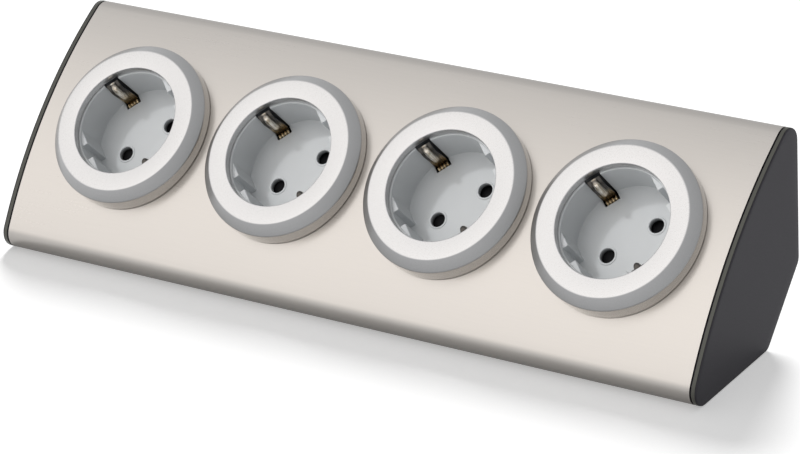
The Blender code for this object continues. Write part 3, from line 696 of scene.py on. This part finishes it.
def slotCheeks(wallEnd, inSlot, sign):
    # the cut through the floor in front of an earth spring: down both sides and across the inner end
    edge = wallEnd[(~inSlot) & (sign * wallEnd[:, 1] > 0)][:, :2]
    outer = sign * abs(edge[np.argmin(np.abs(edge[:, 0]))][1])
    inner = sign * well["slotIn"]
    side = well["slot"]
    path = np.concatenate([
        linePoints((side, outer), (side, inner), 5),
        linePoints((side, inner), (-side, inner), 8)[1:],
        linePoints((-side, inner), (-side, outer), 5)[1:],
    ])
    return ringGrid([(path, well["depth"]), (path, well["depth"] + well["floor"])])


def markBoreShade(mesh, k):
    # 1 for what lies behind the floor or in the earth slots, which takes a painted shade, 0 for the well itself
    local = inSocket(mesh, k)
    depth = -local[:, 2]
    share = np.clip((depth - well["depth"] - well["boreFrom"]) / well["boreFade"], 0, 1)
    wallEnd = np.sqrt(well["radius"] ** 2 - well["slot"] ** 2)
    inSlot = np.abs(local[:, 0]) < well["slot"] + well["slotSlack"]
    inSlot = inSlot & (np.abs(local[:, 1]) > wallEnd + well["behindWall"])
    writeMark(mesh, "bore", np.maximum(share, inSlot & (depth > well["lip"] + well["slotFrom"])))


def wellMiddle(k):
    # a point inside the well, which its faces and the springs look at
    return fromSocket(np.array([0, 0, -well["depth"] / 3]), k)


def makeWell(k):
    # wall, two halves of the floor and the cheeks of both slots, welded into one sheet
    outline, inSlot = wholeOutline()
    wall = wellWall(outline, inSlot)
    sheets = [(wall, True)]
    sheets += [(floorHalf(wall[-1], inSlot, side), True) for side in (1, -1)]
    sheets += [(slotCheeks(wall[-1], inSlot, sign), False) for sign in (1, -1)]
    placed = [(fromSocket(grid, k), wrap) for grid, wrap in sheets]
    piece = surfacePiece(f"plugWell{k + 1}", placed, towards=wellMiddle(k), weld=well["weld"])
    thicken(piece, well["wall"], even=False)
    markBoreShade(piece.data, k)
    settle(piece, "housing", finishes["grey_plastic"], "grey_plastic", f"socket_insert_{k + 1}")


for k in range(len(centres)):
    makeWell(k)
print("plug wells: done")


# earth springs: one strip bent into a bow, with a high bead pressed into each blade and a ribbed foot
spring = dict(half=2.3 * mm, sheet=0.4 * mm, nose=16.5 * mm, noseDepth=5.0 * mm, noseRound=2.0 * mm,
              stem=18.4 * mm, stemRound=3.0 * mm, tip=18.7 * mm, tipDepth=2.8 * mm, bar=26.6 * mm,
              bend=2.0 * mm, lengthPoints=150, acrossPoints=47, sharp=60, bead=1.6 * mm, beadHalf=1.2 * mm,
              beadTop=3.1 * mm, beadFull=4.3 * mm, beadFade=10.5 * mm, beadEnd=16.0 * mm,
              # the painted highlight on the bead starts at the next depth on the upper blade, at lowTop on the
              # lower one
              glintTop=3.7 * mm, lowTop=4.4 * mm, glintStart=0.5 * mm, glintEnd=14.0 * mm, glintFade=3.5 * mm,
              glintEdge=2.5, wornFrom=8.5 * mm, wornOver=4.5 * mm, wornGlint=0.65)
foot = dict(out=17.1 * mm, depth=18.0 * mm, radius=1.05 * mm, ribs=4, mean=0.82, swing=0.18,
            points=49, sides=16, slack=1.1, glintMean=0.6, glintSwing=0.4)


def bladePath():
    # from the tip over the nose and down the stem to the middle of the bar, as clip offset and height
    corners = [(spring["tip"], -spring["tipDepth"]), (spring["nose"], -spring["noseDepth"]),
               (spring["stem"], -well["depth"]), (spring["stem"], -spring["bar"]), (0, -spring["bar"])]
    path = roundedPath(corners, [0, spring["noseRound"], spring["stemRound"], spring["bend"], 0], 12)
    # even steps along the way, close enough for the bead
    far = np.concatenate([[0], np.cumsum(np.linalg.norm(np.diff(path, axis=0), axis=1))])
    even = np.linspace(0, far[-1], spring["lengthPoints"])
    return np.stack([np.interp(even, far, path[:, 0]), np.interp(even, far, path[:, 1])], -1)


def beadAcross(across):
    # a half ellipse over the width of the bead
    return np.sqrt(np.clip(1 - (across / spring["beadHalf"]) ** 2, 0, 1))


def beadShare(depth, across):
    # a rounded start, a full stretch and a long fade down the blade
    rise = np.clip((depth - spring["beadTop"]) / (spring["beadFull"] - spring["beadTop"]), 0, 1)
    fade = np.clip((spring["beadEnd"] - depth) / (spring["beadEnd"] - spring["beadFade"]), 0, 1)
    along = np.sqrt(1 - (1 - rise) ** 2) * fade * fade * (3 - 2 * fade)
    return along * beadAcross(across)


def bladeSheet():
    # the path and its mirror image carried across the strip's width, lifted inwards by the bead
    half = bladePath()
    path = np.concatenate([half, (half * [-1, 1])[::-1][1:]])
    across = np.linspace(-1, 1, spring["acrossPoints"]) * spring["half"]
    way = np.gradient(path, axis=0)
    way = way / np.linalg.norm(way, axis=1)[:, None]
    # the turned way points into the well on both blades and up on the bar
    inward = np.stack([way[:, 1], -way[:, 0]], -1)
    lift = spring["bead"] * beadShare(-path[:, 1][:, None], across[None, :])
    grid = np.zeros((len(path), len(across), 3))
    grid[..., 0] = across
    grid[..., 1:] = path[:, None, :] + lift[..., None] * inward[:, None, :]
    return grid


def footWave(place, mean, swing):
    # rises and falls once for each rib across the foot, where place goes from -1 to 1
    return mean - swing * np.cos(np.pi * foot["ribs"] * (place + 1))


def footRod(sign):
    # a ribbed rod across the end of a blade, drawn to a point at both ends
    turn = np.linspace(0, 2 * np.pi, foot["sides"], endpoint=False)
    place = np.linspace(-1, 1, foot["points"])[:, None]
    thick = foot["radius"] * footWave(place, foot["mean"], foot["swing"])
    rod = np.zeros((foot["points"], foot["sides"], 3))
    rod[..., 0] = place * spring["half"]
    rod[..., 1] = sign * foot["out"] + thick * np.cos(turn)
    rod[..., 2] = -foot["depth"] + thick * np.sin(turn)
    rod[[0, -1], :, 1:] = [sign * foot["out"], -foot["depth"]]
    return rod


def markWearAndHighlight(mesh, k):
    # a painted highlight up the bead, in streaks low on the blade and on the ribs of the foot, painted shade
    # elsewhere; worn: how low a point lies
    local = inSocket(mesh, k)
    depth = -local[:, 2]
    worn = np.clip((depth - spring["wornFrom"]) / spring["wornOver"], 0, 1)
    fade = np.clip((spring["glintEnd"] - depth) / spring["glintFade"], 0, 1)
    # above the nose the bead leans by an eighth of a turn, which lifts its points towards the opening
    side = beadAcross(local[:, 0])
    top = np.where(local[:, 1] > 0, spring["glintTop"], spring["lowTop"])
    start = np.clip((depth + spring["bead"] * side / np.sqrt(2) - top) / spring["glintStart"], 0, 1)
    share = np.clip(side * spring["glintEdge"], 0, 1) * start * fade
    # low on the blade a painted highlight spreads over the worn brass
    share = np.maximum(share, spring["wornGlint"] * worn ** 2)
    reach = foot["radius"] * foot["slack"]
    isFoot = np.abs(depth - foot["depth"]) < reach
    isFoot = isFoot & (np.abs(np.abs(local[:, 1]) - foot["out"]) < reach)
    # the foot's ribs take a painted glint, with painted shade between them
    ribs = footWave(local[:, 0] / spring["half"], foot["glintMean"], foot["glintSwing"])
    writeMark(mesh, "rubbed", np.where(isFoot, ribs, share))
    writeMark(mesh, "worn", worn)


def makeSpring(k):
    # the bow as a sheet, and a rod for the foot of each blade
    sheet = [(fromSocket(bladeSheet(), k), False)]
    blade = surfacePiece(f"earthSpring{k + 1}", sheet, towards=wellMiddle(k), sharp=spring["sharp"])
    thicken(blade, spring["sheet"], even=False)
    rods = [(fromSocket(footRod(sign), k), True) for sign in (1, -1)]
    feet = surfacePiece(f"springFeet{k + 1}", rods, sharp=spring["sharp"])
    for piece in (blade, feet):
        markWearAndHighlight(piece.data, k)
        settle(piece, "housing", finishes["nickel"], "nickel", f"earth_clip_{k + 1}")


for k in range(len(centres)):
    makeSpring(k)
print("earth springs: done")


# end caps: the housing's section as a plate with softened edges
cap = dict(plate=2.2 * mm, edge=0.34 * mm, heelCut=22.9 * mm, heelRound=4.0 * mm, line=0.25 * mm,
           gap=0.45 * mm, overlap=4.0 * mm, inset=0.06 * mm,
           # pairs of a distance along the strip and one into the outline:
           # past the shadow gap, then before the rounded edge
           rimStart=((0.08 * mm, 0.1 * mm), (0.2 * mm, 0)),
           rimEnd=((0.26 * mm, 0), (0.18 * mm, 0.05 * mm), (0.14 * mm, 0.25 * mm), (0.04 * mm, 0.25 * mm)),
           markStart=0.15 * mm, markEnd=0.2 * mm)


def sectionLoop():
    # top nose, bowed face, front nose, then the slanted heel, as y and z
    y, z, angle = noseCentre()
    top = arcPoints((y, z), steel["nose"], 0, angle, 16)
    face = arcPoints(faceCentre(), steel["radius"], angle, 2 * outTurn - angle, 48)
    front = mirrorSection(top)[::-1]
    radius = cap["heelRound"]
    offset = cap["heelCut"] + radius * (np.sqrt(2) - 1)
    low = arcPoints((wallY - offset, radius), radius, 270, 315, 8)
    high = arcPoints((wallY - radius, offset), radius, 315, 360, 8)
    return np.concatenate([top, face[1:-1], front, low, high])


def inwardOf(loop):
    # unit vectors that point into a closed outline which runs anticlockwise
    along = np.roll(loop, -1, 0) - np.roll(loop, 1, 0)
    normal = np.stack([-along[:, 1], along[:, 0]], -1)
    return normal / np.linalg.norm(normal, axis=1)[:, None]


def markRimSheen(mesh, start, end):
    # 1 on the flush rim between the shadow gap and the fine line, which a painted reflection makes lighter
    x = np.abs(meshArray(mesh.vertices, "co", 3)[:, 0])
    writeMark(mesh, "rim", (x > start) & (x < end))


def makeCap(name, side, node):
    # the outline moved inwards in steps along the strip, and drawn to a point on both faces
    loop = sectionLoop()
    inward = inwardOf(loop)
    low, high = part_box(node)
    outer = max(abs(low[0]), abs(high[0]))
    inner = outer - cap["plate"]
    edge = cap["edge"]
    rimFrom, rimTo = inner + cap["line"], outer - edge
    # a shadow gap beside the steel, the flush rim, a fine line, then the rounded edge of the face
    steps = [(inner, cap["overlap"]), (inner, cap["gap"]), (rimFrom, cap["gap"])]
    steps += [(rimFrom + far, inset) for far, inset in cap["rimStart"]]
    steps += [(rimTo - far, inset) for far, inset in cap["rimEnd"]]
    steps += [(rimTo + edge * np.sin(a), cap["inset"] + edge * (1 - np.cos(a)))
              for a in np.radians(np.linspace(0, 90, 6))]
    middle = loop.mean(0)
    back = loop + inward * cap["overlap"]
    face = loop + inward * (edge + cap["inset"])
    rows = [(inner, middle + (back - middle) * share) for share in (0.0, 0.3, 0.6)]
    rows += [(x, loop + inward * inset) for x, inset in steps]
    rows += [(outer, middle + (face - middle) * share) for share in (0.9, 0.6, 0.3, 0.0)]
    grid = np.zeros((len(rows), len(loop), 3))
    for row, (x, flat) in enumerate(rows):
        grid[row, :, 0] = side * x
        grid[row, :, 1:] = flat
    piece = surfacePiece(name, [(grid, True)])
    markRimSheen(piece.data, rimFrom + cap["markStart"], rimTo - cap["markEnd"])
    settle(piece, "housing", finishes["dark_plastic"], "dark_plastic", node)


makeCap("endCapLeft", -1, "end_cap_left")
makeCap("endCapRight", 1, "end_cap_right")
print("end caps: done")


# rear shell and gland: the solids themselves, welded and with their edges broken; angles in degrees
broken = dict(weld=2e-6, flat=1, sharp=35, segments=2, shell=0.2 * mm, gland=0.15 * mm)


def softened(name, node, width, slot):
    # a copy of a node's mesh with doubles merged, flat faces joined and edges bevelled
    mesh = nodes[node].data.copy()
    work = bmesh.new()
    work.from_mesh(mesh)
    bmesh.ops.remove_doubles(work, verts=work.verts, dist=broken["weld"])
    bmesh.ops.dissolve_limit(work, angle_limit=np.radians(broken["flat"]), verts=work.verts, edges=work.edges)
    work.to_mesh(mesh)
    work.free()
    mesh.shade_smooth()
    mesh.set_sharp_from_angle(angle=np.radians(broken["sharp"]))
    piece = bpy.data.objects.new(name, mesh)
    bpy.context.scene.collection.objects.link(piece)
    edge = piece.modifiers.new("edge", "BEVEL")
    edge.width = width
    edge.segments = broken["segments"]
    edge.limit_method = "ANGLE"
    edge.angle_limit = np.radians(broken["sharp"])
    edge.harden_normals = True
    settle(piece, "housing", finishes[slot], slot, node)


softened("rearShell", "rear_housing", broken["shell"], "dark_plastic")
softened("leadInlet", "cable_gland", broken["gland"], "black_plastic")
print("rear shell and inlet: done")


# stage: white floor and world, a softbox for the metal, a key, a frontal fill and a back lamp
stage = dict(floor=(0.92, 0.92, 0.92), floorRough=0.9, floorReach=6.0, floorDrop=0.2 * mm, lift=0.37,
             ambient=0.33, sunFar=1.0, keyPower=0.75, keyAngle=5.0, keyFrom=(-0.476, -0.428, 0.768),
             fillPower=0.55, fillAngle=40.0, fillFrom=(-0.12, -0.70, 0.70),
             backPower=3.0, backAngle=18.0, backFrom=(-0.55, 1.2, 1.0),
             boxPower=5.3, boxColor=(1.0, 0.945, 0.89), boxWide=2.4, boxHigh=2.5, boxFar=1.5, boxSpread=96.0,
             boxFrom=(-0.35, -0.68, 0.68))


def backgroundRays(tree):
    # 1 for rays that come from the camera or by way of gloss or glass
    path = tree.nodes.new("ShaderNodeLightPath")
    seen = path.outputs["Is Camera Ray"]
    for kind in ("Is Glossy Ray", "Is Transmission Ray"):
        either = tree.nodes.new("ShaderNodeMath")
        either.operation = "MAXIMUM"
        tree.links.new(seen, either.inputs[0])
        tree.links.new(path.outputs[kind], either.inputs[1])
        seen = either.outputs["Value"]
    return seen


def makeFloor():
    # a wide sheet of paper just under the strip, lifted to white for the camera, gloss and glass
    reach, level = stage["floorReach"], -stage["floorDrop"]
    corners = np.array([[(x, y, level) for x in (-reach, reach)] for y in (-reach, reach)])
    floor = surfacePiece("floor", [(corners, False)], towards=(0, 0, 1))
    material, tree, shader = startMaterial("paperFloor", stage["floor"], stage["floorRough"])
    shader.inputs["Specular IOR Level"].default_value = 0.0
    glow = tree.nodes.new("ShaderNodeMath")
    glow.operation = "MULTIPLY"
    glow.inputs[1].default_value = stage["lift"]
    tree.links.new(backgroundRays(tree), glow.inputs[0])
    shader.inputs["Emission Color"].default_value = (1, 1, 1, 1)
    tree.links.new(glow.outputs["Value"], shader.inputs["Emission Strength"])
    floor.data.materials.append(material)
    return floor


def makeWorld():
    # white for the camera, gloss and glass, dimmer as a light
    world = bpy.data.worlds.new("studio")
    bpy.context.scene.world = world
    world.use_nodes = True
    tree = world.node_tree
    back = tree.nodes["Background"]
    level = tree.nodes.new("ShaderNodeMix")
    level.inputs["A"].default_value = stage["ambient"]
    level.inputs["B"].default_value = 1.0
    tree.links.new(backgroundRays(tree), level.inputs["Factor"])
    back.inputs["Color"].default_value = (1, 1, 1, 1)
    tree.links.new(level.outputs["Result"], back.inputs["Strength"])


def aimAtFloor(item, floor, state):
    # keeps a lamp for the floor alone, or keeps it off the floor
    group = bpy.data.collections.new(item.name + "Receivers")
    group.objects.link(floor)
    group.collection_objects[0].light_linking.link_state = state
    item.light_linking.receiver_collection = group


def addLamp(name, kind, power, way, distance):
    # stands a distance away from the middle of the sockets and shines at it
    lamp = bpy.data.lights.new(name, kind)
    lamp.energy = power
    item = bpy.data.objects.new(name, lamp)
    bpy.context.scene.collection.objects.link(item)
    way = Vector(way).normalized()
    item.location = Vector(centres.mean(0)) + way * distance
    item.rotation_euler = way.to_track_quat("Z", "Y").to_euler()
    return item


def addSun(name, floor, state):
    # a distant lamp, with its power, angle and way from the stage's values
    item = addLamp(name, "SUN", stage[name + "Power"], stage[name + "From"], stage["sunFar"])
    item.data.angle = np.radians(stage[name + "Angle"])
    aimAtFloor(item, floor, state)
    return item


def makeLamps(floor):
    # the key throws the shadows in the wells, the back lamp the one on the floor
    key = addSun("key", floor, "EXCLUDE")
    fill = addSun("fill", floor, "EXCLUDE")
    back = addSun("back", floor, "INCLUDE")
    for lamp in (key, fill):
        lamp.visible_glossy = False
    # a stray ray that meets the key's small bright disc would leave a white speck on the paint
    key.data.cycles.use_multiple_importance_sampling = False
    hull = bpy.data.collections.new("backBlockers")
    for name in ("steelFront", "endCapLeft", "endCapRight", "rearShell"):
        hull.objects.link(bpy.data.objects[name])
    back.light_linking.blocker_collection = hull
    box = addLamp("softbox", "AREA", stage["boxPower"], stage["boxFrom"], stage["boxFar"])
    box.data.shape = "RECTANGLE"
    box.data.size = stage["boxWide"]
    box.data.size_y = stage["boxHigh"]
    box.data.color = stage["boxColor"]
    box.data.spread = np.radians(stage["boxSpread"])
    aimAtFloor(box, floor, "EXCLUDE")


def makeCamera():
    # the photograph's own view: place and axes fitted to the four rings
    view = dict(right=(0.83913, 0.54083, -0.05796), up=(-0.18041, 0.37726, 0.90837),
                back=(0.51314, -0.75178, 0.41414), place=(0.62065, -0.88635, 0.46959),
                lens=158.01, sensor=36.0)
    data = bpy.data.cameras.new("camera")
    data.sensor_width = view["sensor"]
    data.lens = view["lens"]
    camera = bpy.data.objects.new("camera", data)
    bpy.context.scene.collection.objects.link(camera)
    turn = Matrix([view["right"], view["up"], view["back"]]).transposed().to_4x4()
    camera.matrix_world = Matrix.Translation(Vector(centres.mean(0)) + Vector(view["place"])) @ turn
    bpy.context.scene.camera = camera


makeLamps(makeFloor())
makeWorld()
makeCamera()
bpy.context.scene.view_settings.view_transform = "Standard"
print("stage: done")
